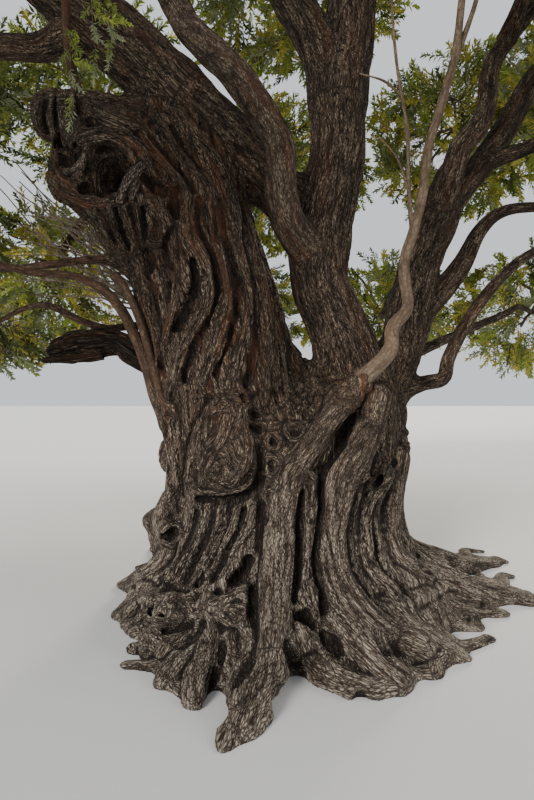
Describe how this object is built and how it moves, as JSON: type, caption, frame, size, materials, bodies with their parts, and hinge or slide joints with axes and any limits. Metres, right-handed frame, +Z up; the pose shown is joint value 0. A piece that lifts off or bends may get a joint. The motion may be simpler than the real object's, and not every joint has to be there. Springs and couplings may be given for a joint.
{
  "type": "ancient olive tree",
  "caption": "Ancient twin-stemmed olive with a ribbed, root-flared trunk, a hollow burl, open boughs and an airy leafy crown.",
  "frame": {"origin": "on the flat cut at ground level, under the middle of the trunk", "axes": "+Z up; -Y towards the side from which the hollow burl and the long front root are seen; +X to the right from that side"},
  "size_m": [11.7274, 10.9248, 9.0756],
  "materials": {
    "bark": "rough, ridged grey-brown bark",
    "pale_bark": "smoother pale bark",
    "dead_wood": "dark, torn dead wood",
    "foliage": "matt grey-green leaves"
  },
  "bodies": {
    "root": {"bough_back": "bark", "bough_back_left": "bark", "bough_back_left_low": "bark", "bough_back_low": "bark", "bough_back_right": "bark", "bough_back_right_low": "bark", "bough_centre_back": "bark", "bough_centre_left": "bark", "bough_centre_right": "bark", "bough_front": "bark", "bough_front_curved": "bark", "bough_front_left": "bark", "bough_front_right": "bark", "bough_high_front": "bark", "bough_left_diagonal": "bark", "bough_left_level": "bark", "bough_right_cross": "bark", "bough_right_knee": "bark", "bough_right_low": "bark", "bough_right_main": "bark", "bough_right_thin": "bark", "bough_right_upright": "bark", "crown_back": "foliage", "crown_back_left": "foliage", "crown_back_right": "foliage", "crown_front": "foliage", "crown_front_left": "foliage", "crown_front_right": "foliage", "crown_high_front_left": "foliage", "crown_high_front_right": "foliage", "crown_inner_right": "foliage", "crown_left": "foliage", "crown_left_front": "foliage", "crown_right": "foliage", "crown_right_front": "foliage", "crown_right_mid": "foliage", "crown_top_back": "foliage", "crown_top_left": "foliage", "crown_top_right": "foliage", "shoot_left_arched": "bark", "shoot_left_low": "bark", "shoot_left_tall": "pale_bark", "skirt_back": "foliage", "skirt_back_left": "foliage", "skirt_back_right": "foliage", "skirt_left": "foliage", "skirt_left_front": "foliage", "skirt_left_low": "foliage", "skirt_right": "foliage", "skirt_right_back": "foliage", "skirt_right_front": "foliage", "stem_pale": "pale_bark", "stub_left": "dead_wood", "trunk": "bark"}
  },
  "joints": []
}
